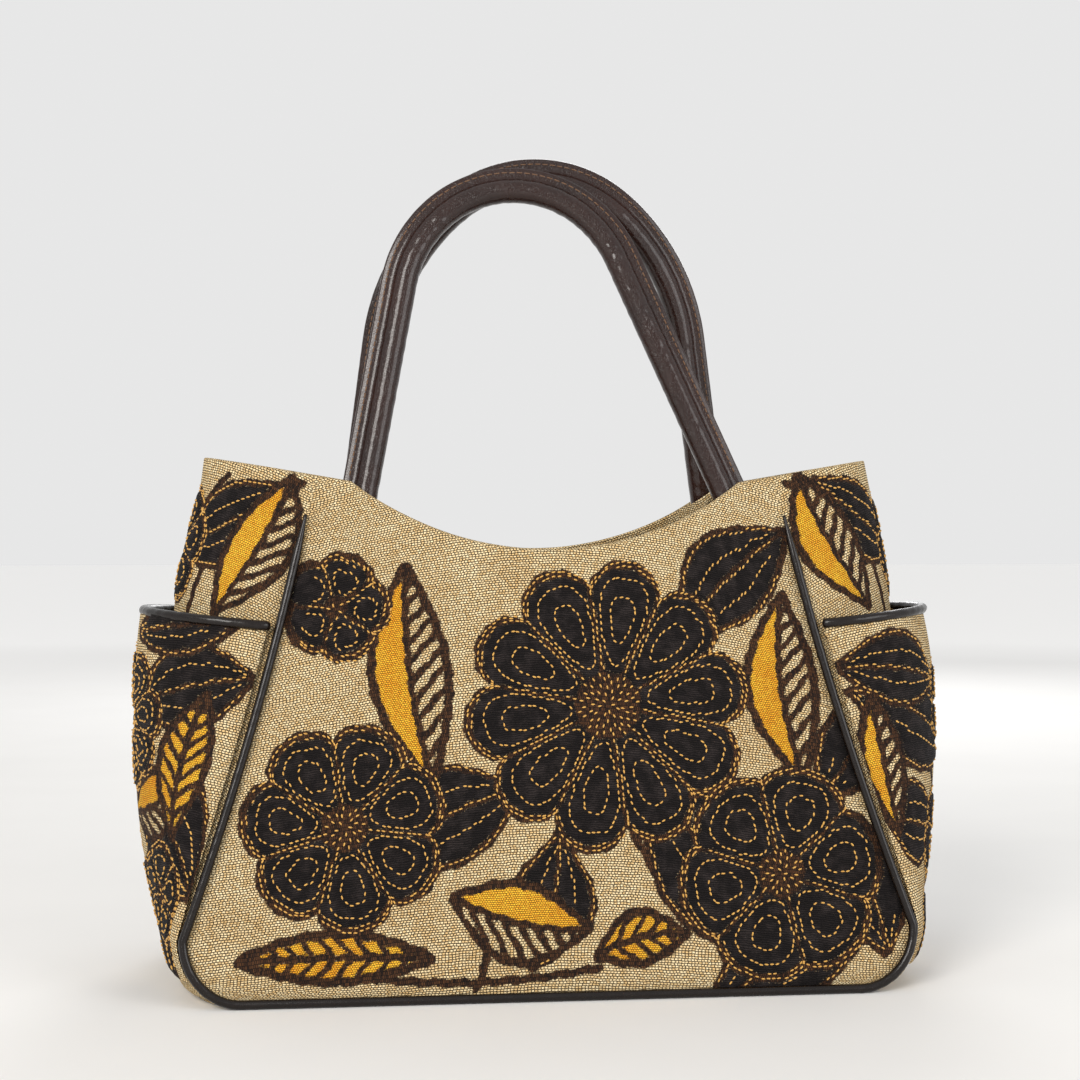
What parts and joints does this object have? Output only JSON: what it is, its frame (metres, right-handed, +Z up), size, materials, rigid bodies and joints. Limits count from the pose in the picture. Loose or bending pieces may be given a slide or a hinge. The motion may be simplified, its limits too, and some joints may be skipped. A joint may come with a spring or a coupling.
{
  "type": "tapestry shoulder bag",
  "caption": "Open-top tapestry shoulder bag with piped A-line panels, side patch pockets and rolled leather handles.",
  "frame": {"origin": "middle of the base, on the surface that the bag stands on", "axes": "+Z up, -Y out of the front panel, +X to the right of the front panel"},
  "size_m": [0.397, 0.152, 0.3986],
  "materials": {
    "tapestry": "woven",
    "handle_leather": "glossy",
    "piping": "satin",
    "lining_cloth": "matte",
    "board": "matte",
    "rope": "matte",
    "snap_metal": "satin",
    "pile": "velvet",
    "gold_weave": "woven"
  },
  "bodies": {
    "root": {"front_panel": "tapestry", "back_panel": "tapestry", "left_side_panel": "tapestry", "right_side_panel": "tapestry", "base_panel": "tapestry", "rim_facing": "tapestry", "left_pocket": "tapestry", "right_pocket": "tapestry", "front_handle": "handle_leather", "back_handle": "handle_leather", "front_piping": "piping", "back_piping": "piping", "left_pocket_binding": "piping", "right_pocket_binding": "piping", "lining": "lining_cloth", "base_board": "board", "front_handle_core": "rope", "back_handle_core": "rope", "snap_socket": "snap_metal", "snap_stud": "snap_metal", "front_dark_fields": "pile", "left_pocket_fields": "pile", "right_pocket_fields": "pile", "front_gold_fields": "gold_weave"}
  },
  "joints": []
}
